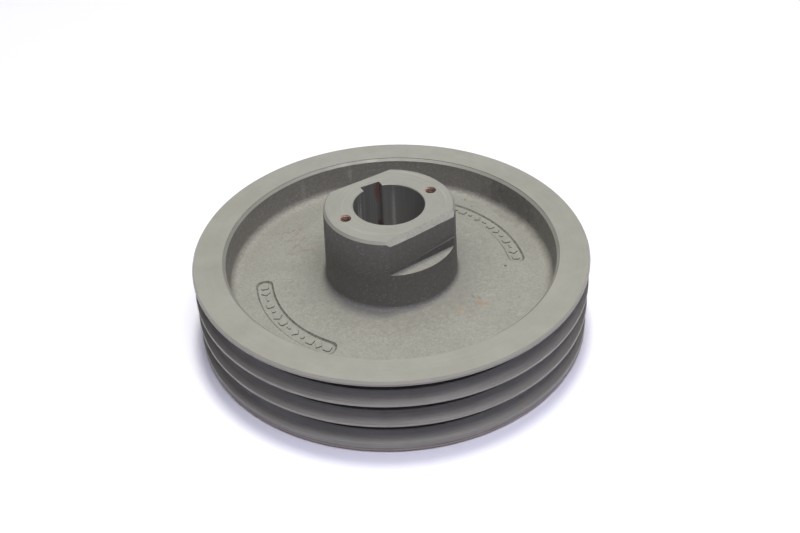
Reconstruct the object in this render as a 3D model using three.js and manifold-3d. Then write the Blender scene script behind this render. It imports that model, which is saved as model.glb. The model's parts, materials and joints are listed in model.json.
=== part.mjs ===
// A three-groove cast iron V-belt pulley with a long keyed hub and two socket set screws.
// Millimetres, +Z up along the bore, origin at the centre of the rim's lower face.
// +Y points from the bore's axis to the keyway, and the two puller holes lie along X.
import * as THREE from 'three';
import { mergeVertices } from 'three/addons/utils/BufferGeometryUtils.js';
import Module from 'manifold-3d';

const wasm = await Module();
wasm.setup();

// Rim: three B-section grooves, to the usual 3/4 inch groove spacing
const RIM_RADIUS = 152.4;
const FACE_WIDTH = 66.5;
const TOP_LAND = 3.6;
const GROOVE_COUNT = 3;
const GROOVE_SPACING = 19.05;
const GROOVE_TOP_WIDTH = 16.51;
const GROOVE_DEPTH = 14.5;
const GROOVE_ANGLE = THREE.MathUtils.degToRad(38);
const RIM_TOP_EDGE_RADIAL = 1.3;
const RIM_BOTTOM_EDGE_RADIAL = 1.8;
const RIM_EDGE_AXIAL = 1.9;
const RECESS_MOUTH_RADIUS = 129.4;
const RECESS_BEVEL = 2.2;
const WALL_DRAFT = THREE.MathUtils.degToRad(3);

// Web: two shallow cones, thicker at the hub than at the rim
const WEB_INNER_RADIUS = 60;
const WEB_OUTER_RADIUS = 118;
const WEB_TOP_AT_HUB = FACE_WIDTH - 20.5;
const WEB_TOP_AT_RIM = FACE_WIDTH - 25.5;
const WEB_BOTTOM_AT_HUB = 24.0;
const WEB_BOTTOM_AT_RIM = 26.0;
const RIM_FILLET = 6;
const HUB_FILLET = 3.5;
const FILLET_STEPS = 4;

// Hub and its bore
const HUB_TOP = FACE_WIDTH + 39.7;
const HUB_RADIUS = 49.7;
const HUB_DRAFT = THREE.MathUtils.degToRad(1.5);
const HUB_EDGE_RADIAL = 1.9;
const HUB_EDGE_AXIAL = 1.9;
const BORE_RADIUS = 27;
const BORE_CHAMFER = 0.5;
const KEYWAY_WIDTH = 16;
const KEYWAY_FLOOR = 31.3;

// Two flats milled on the hub, a few degrees off the keyway's line
const FLAT_LEDGE = FACE_WIDTH + 10.6;
const FLATS = [
  { normalDegrees: 94.6, distance: 40.5, bevelRun: 0.8, bevelDrop: 0.9 },
  { normalDegrees: -82.5, distance: 40.5, bevelRun: 4.1, bevelDrop: 4.6 },
];

// Two tapped holes for a puller
const PULLER_HOLE_RADIUS = 4.0;
const PULLER_CIRCLE_RADIUS = 36.3;
const PULLER_HOLE_DEPTH = 25;

// Two shallow arc-shaped pockets on the web, opposite each other
const POCKET_INNER_RADIUS = 93.0;
const POCKET_OUTER_RADIUS = 106.3;
const POCKET_CORNER = 4;
const POCKET_DEPTH = 1.0;
const POCKET_HALF_ANGLE = THREE.MathUtils.degToRad(30.6);
const POCKET_CENTRES = [6.8, 186.8];
const POCKET_CURVE_STEPS = 5;

// Half-inch socket set screws, in holes that cross the hub's wall inside the recess
const SCREW_RADIUS = 6.35;
const SCREW_HOLE_GAP = 0.3;
const SCREW_HEIGHT = FACE_WIDTH - 6.5;
const SCREW_TIP_SETBACK = 1.0;
const SCREW_TIP_CHAMFER = 1.6;
const SCREW_CUP_RADIUS = 3.2;
const SCREW_CUP_DEPTH = 1.6;
const SCREW_SOCKET_ACROSS_FLATS = 6.35;
const SCREW_SOCKET_DEPTH = 6;
const KEY_SCREW_LENGTH = 15.9;
const SHAFT_SCREW_LENGTH = 19.05;

const ROUND_STEPS = 72;
const SMALL_ROUND_STEPS = 20;
const CUT_MARGIN = 5;

const castIron = new THREE.MeshStandardMaterial({ color: 0x9c9c93, roughness: 0.6, metalness: 0.5 });
const blackenedSteel = new THREE.MeshStandardMaterial({ color: 0x2b2a29, roughness: 0.45, metalness: 0.8 });

function toSolid(geometry) {
  const bare = geometry.clone();
  bare.deleteAttribute('normal');
  bare.deleteAttribute('uv');
  const merged = mergeVertices(bare, 1e-4);
  return new wasm.Manifold(new wasm.Mesh({
    numProp: 3,
    vertProperties: new Float32Array(merged.attributes.position.array),
    triVerts: new Uint32Array(merged.index.array),
  }));
}

function toGeometry(solid) {
  const mesh = solid.getMesh();
  const geometry = new THREE.BufferGeometry();
  geometry.setAttribute('position', new THREE.BufferAttribute(mesh.vertProperties, 3));
  geometry.setIndex(new THREE.BufferAttribute(mesh.triVerts, 1));
  geometry.computeVertexNormals();
  return geometry;
}

// A turned solid about Z, from a profile of [radius, height] points listed anticlockwise
function turned(profile, steps) {
  const points = profile.map(([radius, height]) => new THREE.Vector2(radius, height));
  return new THREE.LatheGeometry(points, steps).rotateX(Math.PI / 2);
}

// Points on a quarter-round from one angle to another, both ends included
function arc(centreRadius, centreHeight, radius, startDegrees, endDegrees) {
  const points = [];
  for (let i = 0; i <= FILLET_STEPS; i += 1) {
    const angle = THREE.MathUtils.degToRad(startDegrees + ((endDegrees - startDegrees) * i) / FILLET_STEPS);
    points.push([centreRadius + radius * Math.cos(angle), centreHeight + radius * Math.sin(angle)]);
  }
  return points;
}

// The rim's outside, from its lower edge to its upper one, dipping into each groove.
// The grooves are spaced from the upper face, so the land below the last one is the widest.
function rimOutside() {
  const bottomHalf = GROOVE_TOP_WIDTH / 2 - GROOVE_DEPTH * Math.tan(GROOVE_ANGLE / 2);
  const topGroove = FACE_WIDTH - TOP_LAND - GROOVE_TOP_WIDTH / 2;
  const lowestGroove = topGroove - (GROOVE_COUNT - 1) * GROOVE_SPACING;
  const points = [[RIM_RADIUS - RIM_BOTTOM_EDGE_RADIAL, 0], [RIM_RADIUS, RIM_EDGE_AXIAL]];
  for (let i = 0; i < GROOVE_COUNT; i += 1) {
    const middle = lowestGroove + i * GROOVE_SPACING;
    points.push([RIM_RADIUS, middle - GROOVE_TOP_WIDTH / 2]);
    points.push([RIM_RADIUS - GROOVE_DEPTH, middle - bottomHalf]);
    points.push([RIM_RADIUS - GROOVE_DEPTH, middle + bottomHalf]);
    points.push([RIM_RADIUS, middle + GROOVE_TOP_WIDTH / 2]);
  }
  points.push([RIM_RADIUS, FACE_WIDTH - RIM_EDGE_AXIAL]);
  points.push([RIM_RADIUS - RIM_TOP_EDGE_RADIAL, FACE_WIDTH]);
  return points;
}

// The upper recess and the outside of the hub above it, from the rim's face inwards
function upperSide() {
  const wallTop = RECESS_MOUTH_RADIUS - RECESS_BEVEL;
  const wallFoot = wallTop - (FACE_WIDTH - WEB_TOP_AT_RIM) * Math.tan(WALL_DRAFT);
  const hubFoot = HUB_RADIUS + (HUB_TOP - WEB_TOP_AT_HUB) * Math.tan(HUB_DRAFT);
  return [
    [RECESS_MOUTH_RADIUS, FACE_WIDTH],
    [wallTop, FACE_WIDTH - RECESS_BEVEL],
    ...arc(wallFoot - RIM_FILLET, WEB_TOP_AT_RIM + RIM_FILLET, RIM_FILLET, 0, -90),
    ...arc(hubFoot + HUB_FILLET, WEB_TOP_AT_HUB + HUB_FILLET, HUB_FILLET, -90, -180),
    [HUB_RADIUS, HUB_TOP - HUB_EDGE_AXIAL],
    [HUB_RADIUS - HUB_EDGE_RADIAL, HUB_TOP],
  ];
}

function boreSide() {
  return [
    [BORE_RADIUS + BORE_CHAMFER, HUB_TOP],
    [BORE_RADIUS, HUB_TOP - BORE_CHAMFER],
    [BORE_RADIUS, BORE_CHAMFER],
    [BORE_RADIUS + BORE_CHAMFER, 0],
  ];
}

// The lower recess, from the hub's lower face outwards
function lowerSide() {
  const hubFoot = HUB_RADIUS + WEB_BOTTOM_AT_HUB * Math.tan(HUB_DRAFT);
  const wallTop = RECESS_MOUTH_RADIUS - RECESS_BEVEL;
  const wallFoot = wallTop - WEB_BOTTOM_AT_RIM * Math.tan(WALL_DRAFT);
  return [
    [HUB_RADIUS - RECESS_BEVEL, 0],
    [HUB_RADIUS, RECESS_BEVEL],
    ...arc(hubFoot + HUB_FILLET, WEB_BOTTOM_AT_HUB - HUB_FILLET, HUB_FILLET, 180, 90),
    ...arc(wallFoot - RIM_FILLET, WEB_BOTTOM_AT_RIM - RIM_FILLET, RIM_FILLET, 90, 0),
    [wallTop, RECESS_BEVEL],
    [RECESS_MOUTH_RADIUS, 0],
  ];
}

function castingBlank() {
  const profile = [...rimOutside(), ...upperSide(), ...boreSide(), ...lowerSide()];
  profile.push(profile[0]);
  return toSolid(turned(profile, ROUND_STEPS));
}

function keywayCutter() {
  const height = HUB_TOP + 2 * CUT_MARGIN;
  const box = new THREE.BoxGeometry(KEYWAY_WIDTH, KEYWAY_FLOOR, height);
  return toSolid(box.translate(0, KEYWAY_FLOOR / 2, HUB_TOP / 2));
}

// Everything outside one flat, from its ledge up, with the bevel along its top edge
function flatCutter({ normalDegrees, distance, bevelRun, bevelDrop }) {
  const outline = new THREE.Shape();
  outline.moveTo(distance, FLAT_LEDGE);
  outline.lineTo(RECESS_MOUTH_RADIUS / 2, FLAT_LEDGE);
  outline.lineTo(RECESS_MOUTH_RADIUS / 2, HUB_TOP + bevelDrop);
  outline.lineTo(distance - 2 * bevelRun, HUB_TOP + bevelDrop);
  outline.lineTo(distance, HUB_TOP - bevelDrop);
  const length = 2 * HUB_RADIUS;
  const wedge = new THREE.ExtrudeGeometry(outline, { depth: length, bevelEnabled: false });
  wedge.translate(0, 0, -length / 2);
  wedge.rotateX(Math.PI / 2);
  wedge.rotateZ(THREE.MathUtils.degToRad(normalDegrees));
  return toSolid(wedge);
}

function pullerHoleCutter(side) {
  const floor = HUB_TOP - PULLER_HOLE_DEPTH;
  const drill = turned([
    [0, floor - PULLER_HOLE_RADIUS / 2],
    [PULLER_HOLE_RADIUS, floor],
    [PULLER_HOLE_RADIUS, HUB_TOP + CUT_MARGIN],
    [0, HUB_TOP + CUT_MARGIN],
  ], SMALL_ROUND_STEPS);
  return toSolid(drill.translate(side * PULLER_CIRCLE_RADIUS, 0, 0));
}

function webTopAt(radius) {
  const share = (radius - WEB_INNER_RADIUS) / (WEB_OUTER_RADIUS - WEB_INNER_RADIUS);
  return THREE.MathUtils.lerp(WEB_TOP_AT_HUB, WEB_TOP_AT_RIM, share);
}

function polarPoint(radius, angle) {
  return [radius * Math.cos(angle), radius * Math.sin(angle)];
}

// An arc-shaped pocket with rounded corners and a flat floor, sunk into the web's upper side
function pocketCutter(centreDegrees) {
  const inner = POCKET_INNER_RADIUS;
  const outer = POCKET_OUTER_RADIUS;
  const end = POCKET_HALF_ANGLE;
  const outerEnd = end - POCKET_CORNER / outer;
  const innerEnd = end - POCKET_CORNER / inner;
  const outline = new THREE.Shape();
  outline.absarc(0, 0, outer, -outerEnd, outerEnd, false);
  outline.quadraticCurveTo(...polarPoint(outer, end), ...polarPoint(outer - POCKET_CORNER, end));
  outline.lineTo(...polarPoint(inner + POCKET_CORNER, end));
  outline.quadraticCurveTo(...polarPoint(inner, end), ...polarPoint(inner, innerEnd));
  outline.absarc(0, 0, inner, innerEnd, -innerEnd, true);
  outline.quadraticCurveTo(...polarPoint(inner, -end), ...polarPoint(inner + POCKET_CORNER, -end));
  outline.lineTo(...polarPoint(outer - POCKET_CORNER, -end));
  outline.quadraticCurveTo(...polarPoint(outer, -end), ...polarPoint(outer, -outerEnd));
  const cutter = new THREE.ExtrudeGeometry(outline, {
    depth: POCKET_DEPTH + CUT_MARGIN,
    bevelEnabled: false,
    curveSegments: POCKET_CURVE_STEPS,
  });
  cutter.translate(0, 0, webTopAt((inner + outer) / 2) - POCKET_DEPTH);
  return toSolid(cutter.rotateZ(THREE.MathUtils.degToRad(centreDegrees)));
}

// A plain hole for a set screw, along the local X axis from inside the bore outwards
function screwHoleCutter(directionDegrees) {
  const outerEnd = HUB_RADIUS + CUT_MARGIN;
  const hole = new THREE.CylinderGeometry(
    SCREW_RADIUS + SCREW_HOLE_GAP, SCREW_RADIUS + SCREW_HOLE_GAP, outerEnd - BORE_RADIUS / 2, SMALL_ROUND_STEPS,
  );
  hole.rotateZ(Math.PI / 2);
  hole.translate((outerEnd + BORE_RADIUS / 2) / 2, 0, SCREW_HEIGHT);
  return toSolid(hole.rotateZ(THREE.MathUtils.degToRad(directionDegrees)));
}

function pulleyCasting() {
  let casting = castingBlank().subtract(keywayCutter());
  for (const flat of FLATS) {
    casting = casting.subtract(flatCutter(flat));
  }
  for (const side of [-1, 1]) {
    casting = casting.subtract(pullerHoleCutter(side));
  }
  for (const centre of POCKET_CENTRES) {
    casting = casting.subtract(pocketCutter(centre));
  }
  for (const direction of [0, 90]) {
    casting = casting.subtract(screwHoleCutter(direction));
  }
  return toGeometry(casting);
}

// A set screw standing on Z = 0 with its cup point down and its hexagon socket on top
function setScrew(length) {
  const body = toSolid(turned([
    [0, SCREW_CUP_DEPTH],
    [SCREW_CUP_RADIUS, 0],
    [SCREW_RADIUS - SCREW_TIP_CHAMFER, 0],
    [SCREW_RADIUS, SCREW_TIP_CHAMFER],
    [SCREW_RADIUS, length - SCREW_TIP_CHAMFER / 2],
    [SCREW_RADIUS - SCREW_TIP_CHAMFER / 2, length],
    [0, length],
  ], SMALL_ROUND_STEPS));
  const corner = SCREW_SOCKET_ACROSS_FLATS / Math.sqrt(3);
  const socket = new THREE.CylinderGeometry(corner, corner, SCREW_SOCKET_DEPTH * 2, 6);
  socket.rotateX(Math.PI / 2);
  return toGeometry(body.subtract(toSolid(socket.translate(0, 0, length))));
}

// Stands a set screw in its hole, its point facing the bore
function placedScrew(name, length, tipRadius, directionDegrees) {
  const screw = new THREE.Mesh(setScrew(length), blackenedSteel);
  screw.name = name;
  screw.rotation.y = Math.PI / 2;
  screw.position.set(tipRadius + SCREW_TIP_SETBACK, 0, SCREW_HEIGHT);
  const turn = new THREE.Group();
  turn.rotation.z = THREE.MathUtils.degToRad(directionDegrees);
  turn.add(screw);
  return turn;
}

const pulley = new THREE.Group();

const casting = new THREE.Mesh(pulleyCasting(), castIron);
casting.name = 'pulley_casting';
pulley.add(casting);

pulley.add(placedScrew('key_set_screw', KEY_SCREW_LENGTH, KEYWAY_FLOOR, 90));
pulley.add(placedScrew('shaft_set_screw', SHAFT_SCREW_LENGTH, BORE_RADIUS, 0));

export default pulley;
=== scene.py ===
# A cast iron three-groove V-belt pulley with two socket set screws, lying on a white studio floor.
# Lengths are in millimetres until a mesh or a place is handed to Blender, which works in metres.
# +Z runs up the bore, +Y points to the keyway, and the origin is at the centre of the rim's lower face.
import json
import math
import bmesh
import bpy
from mathutils import Matrix, Vector, noise


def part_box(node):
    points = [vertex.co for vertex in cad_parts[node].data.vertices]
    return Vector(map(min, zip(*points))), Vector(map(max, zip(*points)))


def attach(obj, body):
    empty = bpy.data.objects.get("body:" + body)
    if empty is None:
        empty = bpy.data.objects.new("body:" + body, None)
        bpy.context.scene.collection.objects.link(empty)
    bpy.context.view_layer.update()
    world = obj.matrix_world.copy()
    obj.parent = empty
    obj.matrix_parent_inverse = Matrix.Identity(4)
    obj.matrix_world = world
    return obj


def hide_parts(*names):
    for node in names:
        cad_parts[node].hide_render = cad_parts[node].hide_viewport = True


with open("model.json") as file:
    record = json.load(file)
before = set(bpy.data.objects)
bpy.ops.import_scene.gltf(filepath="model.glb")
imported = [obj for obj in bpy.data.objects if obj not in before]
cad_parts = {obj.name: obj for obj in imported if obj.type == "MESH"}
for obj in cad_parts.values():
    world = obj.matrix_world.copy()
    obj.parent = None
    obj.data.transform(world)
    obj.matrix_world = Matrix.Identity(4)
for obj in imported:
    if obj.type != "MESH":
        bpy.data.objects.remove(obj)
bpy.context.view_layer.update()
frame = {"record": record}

MM = 0.001
MOUNTS = {mount["name"]: mount["pos_m"] for mount in frame["record"]["mounts"]}
CASTING_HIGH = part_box("pulley_casting")[1]

# Rim
RIM_RADIUS = CASTING_HIGH.x / MM
FACE_WIDTH = MOUNTS["rim_front_face"][2] / MM
GROOVE_COUNT = 3
GROOVE_SPACING = 19.05
GROOVE_TOP_WIDTH = 16.51
GROOVE_DEPTH = 14.5
GROOVE_ANGLE = math.radians(38)
TOP_LAND = 3.6
RIB_EDGE = 0.3
RIM_TOP_EDGE_RADIAL = 1.3
RIM_BOTTOM_EDGE_RADIAL = 1.8
RIM_EDGE_AXIAL = 1.9
RIM_SCORE = 3.7
RECESS_MOUTH_RADIUS = 129.4
RECESS_BEVEL = 2.2
MOUTH_STEP = (0.1, 0.5)
WALL_DRAFT = math.radians(3)

# Web
WEB_TOP_AT_HUB = FACE_WIDTH - 20.5
WEB_TOP_AT_RIM = FACE_WIDTH - 25.5
WEB_BOTTOM_AT_HUB = 24.0
WEB_BOTTOM_AT_RIM = 26.0
WEB_INNER_RADIUS = 54.8
WEB_OUTER_RADIUS = 119.9
RIM_FILLET = 6
HUB_FILLET = 3.5

# Hub, bore and keyway
HUB_TOP = CASTING_HIGH.z / MM
HUB_RADIUS = 49.7
HUB_DRAFT = math.radians(1.5)
HUB_EDGE_RADIAL = 1.9
HUB_EDGE_AXIAL = 1.9
BORE_RADIUS = 27
BORE_CHAMFER = 0.5
KEYWAY_HALF_WIDTH = MOUNTS["keyway_side_plus_x"][0] / MM
KEYWAY_FLOOR = MOUNTS["keyway_floor"][1] / MM

# How far from the axis the hub's cutters reach
CUTTER_REACH = HUB_RADIUS + 15
HOLE_CUTTER_REACH = HUB_RADIUS + 6

# Flats on the hub, above a milled ledge
FLAT_LEDGE = FACE_WIDTH + 10.6
FLAT_DISTANCE = 40.5
FRONT_FLAT_DEGREES = -82.5
BACK_FLAT_DEGREES = 94.6
FRONT_BEVEL = (4.1, 4.6)
BACK_BEVEL = (0.8, 0.9)
SECOND_PASS_FOOT = FACE_WIDTH + 15.4
SECOND_PASS_SLOPE = 0.09
SECOND_PASS_TURN = 1.8
SECOND_PASS_DEPTH = 0.5
BEVEL_SKEW = 0.035
# Waves of the ground bevel: how far and how long, in millimetres
BEVEL_WAVES = ((0.28, 9), (0.12, 2.3))

# Tapped holes
PULLER_CIRCLE_RADIUS = 36.3
PULLER_HOLE_RADIUS = 4.0
PULLER_THREAD_DEPTH = 0.7
PULLER_THREAD_PITCH = 1.5875
PULLER_HOLE_DEPTH = 25
SCREW_HEIGHT = FACE_WIDTH - 6.5
SCREW_RADIUS = 6.35
SCREW_THREAD_DEPTH = 1.0
SCREW_THREAD_PITCH = 1.954
SCREW_HOLE_GAP = 0.3
SCREW_HOLE_THREAD_DEPTH = 0.7
SCREW_CHAMFER = 1.6
SCREW_CUP_RADIUS = 3.2
SCREW_SOCKET_ACROSS_FLATS = 6.35
SCREW_SOCKET_DEPTH = 6
SCREW_SOCKET_POINT = 1.2

# Shallow pockets on the web
POCKET_INNER_RADIUS = 93.0
POCKET_OUTER_RADIUS = 106.3
POCKET_CORNER = 5.2
POCKET_DEPTH = 1.2
POCKET_HALF_ANGLE = 30.6
POCKET_CENTRES = (6.8, 186.8)
# How far each ring of the pocket's wall is drawn in, and its height over the pocket's floor
POCKET_LEVELS = ((1.3, 0.0), (0.8, 0.25), (0.0, POCKET_DEPTH), (-0.6, 5.0))

# Plain raised marks in the pockets, in place of cast characters
MARK_SIZE = 6.6
MARK_STROKE = 1.6
MARK_RISE = 0.8
MARK_DRAFT = 0.14
MARK_PITCH_DEGREES = 4.45
MARK_ROW = ("square", "lozenge", "dash", "square", "block", "lozenge", "square", "dash", "lozenge",
            "block", "square", "lozenge", "square")

# How finely round and rough surfaces are divided
ROUND_STEPS = 360
CAST_STEP = 2.5
FILLET_STEPS = 8
FLAT_STEPS = 60
BEVEL_STEPS = 5
KEYWAY_STEPS = 24
POCKET_ARC_STEPS = 40
POCKET_CORNER_STEPS = 6
SLIVER = 0.001
SMOOTH_LIMIT = math.radians(30)
# Unevenness of the cast skin: how far in millimetres, and how finely
CAST_ROUGHNESS = ((0.22, 1 / 38), (0.10, 1 / 14), (0.05, 1 / 5))

# The camera, the light and the floor
VIEW_TURN = math.radians(27.2)
VIEW_ELEVATION = math.radians(36.366)
VIEW_DISTANCE = 864.05
VIEW_PAN = math.radians(-0.4271)
VIEW_TILT = math.radians(1.0348)
VIEW_ROLL = math.radians(-2.4415)
LENS = 50.4
SENSOR = 36
HORIZON_STRENGTH = 0.066
ZENITH_STRENGTH = 0.165
FLOOR_RADIUS = 1150
FLOOR_GAP = 0.05


# ---------------------------------------------------------------- materials

class Graph:
    """A material and short ways to add nodes to it. Places are in millimetres, in the piece's frame."""

    def __init__(self, name, metallic, roughness, specular=0.5):
        self.material = bpy.data.materials.new(name)
        self.material.use_nodes = True
        self.tree = self.material.node_tree
        self.shader = self.tree.nodes["Principled BSDF"]
        self.shader.inputs["Metallic"].default_value = metallic
        self.shader.inputs["Roughness"].default_value = roughness
        self.shader.inputs["Specular IOR Level"].default_value = specular
        place = self.add("ShaderNodeTexCoord").outputs["Object"]
        self.place = self.vector("SCALE", place, Scale=1 / MM)
        split = self.add("ShaderNodeSeparateXYZ", {"Vector": self.place})
        self.x, self.y, self.z = split.outputs

    def add(self, kind, inputs=None, **settings):
        node = self.tree.nodes.new(kind)
        for key, value in settings.items():
            setattr(node, key, value)
        for key, value in (inputs or {}).items():
            self.feed(node.inputs[key], value)
        return node

    def feed(self, socket, value):
        if isinstance(value, bpy.types.NodeSocket):
            self.tree.links.new(value, socket)
        else:
            socket.default_value = value

    def math(self, operation, first, second=0.0, clamp=False):
        inputs = {0: first, 1: second}
        return self.add("ShaderNodeMath", inputs, operation=operation, use_clamp=clamp).outputs[0]

    def vector(self, operation, first, second=None, **named):
        inputs = {0: first, **named}
        if second is not None:
            inputs[1] = second
        node = self.add("ShaderNodeVectorMath", inputs, operation=operation)
        return node.outputs["Value"] if operation in ("LENGTH", "DOT_PRODUCT") else node.outputs["Vector"]

    def noise(self, size, detail=2.0, roughness=0.5, stretch=(1, 1, 1), place=None):
        """Noise from 0 to 1 whose features are about `size` millimetres across."""
        scaled = self.vector("MULTIPLY", place or self.place, [s / size for s in stretch])
        inputs = {"Vector": scaled, "Scale": 1.0, "Detail": detail, "Roughness": roughness}
        return self.add("ShaderNodeTexNoise", inputs).outputs["Fac"]

    def spread(self, value, low, high, to_low=0.0, to_high=1.0):
        inputs = {"Value": value, "From Min": low, "From Max": high, "To Min": to_low, "To Max": to_high}
        return self.add("ShaderNodeMapRange", inputs, interpolation_type="SMOOTHSTEP").outputs["Result"]

    def mix(self, factor, first, second):
        """Mixes two colours, through the colour sockets of the Mix node: inputs 6 and 7, and output 2."""
        node = self.add("ShaderNodeMix", data_type="RGBA")
        self.feed(node.inputs["Factor"], factor)
        self.feed(node.inputs[6], opaque(first))
        self.feed(node.inputs[7], opaque(second))
        return node.outputs[2]

    def radius(self):
        return self.vector("LENGTH", self.vector("MULTIPLY", self.place, (1, 1, 0)))

    def around(self):
        """Distance along a circle and outwards, for marks that run round the axis."""
        angle = self.math("ARCTAN2", self.y, self.x)
        inputs = {"X": self.math("MULTIPLY", angle, 100.0), "Y": self.radius(), "Z": self.z}
        return self.add("ShaderNodeCombineXYZ", inputs).outputs[0]

    def patch(self, centre, size, ragged=0.35, edge=0.5):
        """1 inside a ragged blob about `centre`, falling to 0 at about `size` millimetres from it."""
        offset = self.vector("DIVIDE", self.vector("SUBTRACT", self.place, centre), size)
        reach = self.vector("LENGTH", offset)
        shift = self.math("SUBTRACT", self.noise(min(size) / 2, 4), 0.5)
        wander = self.math("MULTIPLY", shift, 4 * ragged)
        return self.spread(self.math("ADD", reach, wander), 1.0, 1.0 - edge)

    def bump(self, height, distance, strength=1.0, under=None):
        inputs = {"Height": height, "Distance": distance * MM, "Strength": strength}
        if under is not None:
            inputs["Normal"] = under
        return self.add("ShaderNodeBump", inputs).outputs["Normal"]

    def finish(self, color, roughness=None, normal=None):
        self.feed(self.shader.inputs["Base Color"], opaque(color))
        if roughness is not None:
            self.feed(self.shader.inputs["Roughness"], roughness)
        if normal is not None:
            self.feed(self.shader.inputs["Normal"], normal)
        return self.material


def opaque(color):
    return (*color, 1.0) if isinstance(color, tuple) else color


FACE_LIGHT = (0.312, 0.310, 0.282)
FACE_DARK = (0.280, 0.280, 0.254)
SKIN_DARK = (0.205, 0.203, 0.187)
RUST = (0.38, 0.18, 0.155)
DARK_RUST = (0.24, 0.11, 0.095)


def polar(radius, degrees, height):
    angle = math.radians(degrees)
    return (radius * math.cos(angle), radius * math.sin(angle), height)


def machined_iron():
    """The turned faces and edges of the rim and hub, with faint arcs from the tool."""
    g = Graph("machined_iron", 0.25, 0.55)
    blotch = g.spread(g.noise(26, 4, 0.6), 0.3, 0.72)
    color = g.mix(blotch, FACE_DARK, FACE_LIGHT)
    turning = g.noise(1.1, 2, 0.6, (0.03, 1, 1), g.around())
    color = g.mix(g.spread(turning, 0.35, 0.7, 0.0, 0.14), color, (0.37, 0.365, 0.33))
    specks = g.spread(g.noise(1.6, 3, 0.7), 0.60, 0.74, 0.0, 0.3)
    color = g.mix(specks, color, (0.20, 0.19, 0.17))
    arcs = g.spread(g.noise(2.6, 2, 0.6, (0.015, 1, 1), g.around()), 0.56, 0.74, 0.0, 0.5)
    on_end = g.spread(g.z, HUB_TOP - 1, HUB_TOP)
    color = g.mix(g.math("MULTIPLY", arcs, on_end), color, (0.43, 0.425, 0.39))
    below_face = g.spread(g.z, FACE_WIDTH - 0.2, FACE_WIDTH - 0.9, 0.0, 0.3)
    on_hub = g.spread(g.z, FLAT_LEDGE, HUB_TOP - 5, 0.0, 0.14)
    color = g.mix(g.math("ADD", below_face, on_hub), color, (0.17, 0.165, 0.16))
    rough = g.spread(g.noise(14, 3), 0.3, 0.7, 0.48, 0.64)
    normal = g.bump(turning, 0.03, 0.25)
    return g.finish(color, rough, g.bump(g.noise(1.4, 3), 0.04, 0.3, normal))


def cast_skin():
    """The rough skin of the web and hub, with painted shade towards the hub and the wall, dirt, small rust
    stains, painted light and shade in patches, painted highlights on the grain, a crayon scrawl and a few
    pits.
    """
    g = Graph("cast_skin", 0.15, 0.66)
    grain = g.noise(1.8, 4, 0.74)
    color = marked(g, speckled(g, cast_color(g), grain))
    rough = g.spread(g.noise(5, 3), 0.3, 0.7, 0.58, 0.76)
    coarse = g.bump(g.noise(3.4, 3, 0.6), 0.6, 0.5)
    return g.finish(color, rough, g.bump(grain, 0.42, 0.9, coarse))


def cast_color(g):
    """The web's colour, with painted shade darkening it towards the hub and the wall, and darker colours
    on the hub's side and the wall.
    """
    radius = g.radius()
    cloud = g.spread(g.noise(32, 4, 0.62), 0.3, 0.72)
    color = g.mix(cloud, (0.278, 0.276, 0.249), (0.307, 0.305, 0.275))
    ragged = g.math("MULTIPLY", radius, g.spread(g.noise(3.5, 4, 0.7), 0.25, 0.75, 0.84, 1.16))
    # Painted shade: the web darkens towards the hub's foot and the rim's wall.
    painted_shade_near_hub = g.spread(ragged, 94, 48, 0.0, 0.42)
    painted_shade_near_wall = g.spread(ragged, 112, 140, 0.0, 0.16)
    color = g.mix(g.math("ADD", painted_shade_near_hub, painted_shade_near_wall), color, (0.10, 0.097, 0.09))
    color = g.mix(g.math("MULTIPLY", on_hub(g), 0.75), color, (0.212, 0.200, 0.196))
    return g.mix(g.math("MULTIPLY", on_wall(g), 0.75), color, (0.278, 0.260, 0.246))


def on_hub(g):
    """1 on the hub's side and 0 on the web."""
    return g.spread(g.radius(), 54.5, 52.0)


def on_wall(g):
    """1 on the inner wall of the rim and 0 on the web."""
    return g.spread(g.radius(), 121, 125)


def speckled(g, color, grain):
    """Dark hollows in the skin's grain, and light specks on its high spots as painted highlights, stronger
    on the upright surfaces.
    """
    color = g.mix(g.spread(grain, 0.42, 0.66, 0.0, 0.5), color, SKIN_DARK)
    upright = g.math("ADD", on_hub(g), on_wall(g))
    # Painted highlights on the grain's high spots, stronger on the upright hub and wall.
    grain_highlight = g.math("MULTIPLY", g.spread(grain, 0.46, 0.30), g.spread(upright, 0, 1, 0.22, 0.6))
    return g.mix(grain_highlight, color, (0.46, 0.45, 0.42))


def marked(g, color):
    """Stains, painted patches of light and shade, the crayon scrawl and pits."""
    for spot, size, strength, blot_color in STAINS_AND_PAINTED_LIGHT:
        blot = g.patch(polar(*spot), size, 0.5, 0.8)
        color = g.mix(g.math("MULTIPLY", blot, strength), color, blot_color)
    color = g.mix(g.math("MULTIPLY", crayon_scrawl(g), 0.5), color, (0.235, 0.12, 0.105))
    for radius, degrees, size, strength in PITS:
        pit = g.patch(polar(radius, degrees, WEB_TOP_AT_RIM + 3), (size, size, 8), 0.3, 0.4)
        color = g.mix(g.math("MULTIPLY", pit, strength), color, (0.05, 0.045, 0.042))
    return color


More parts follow.
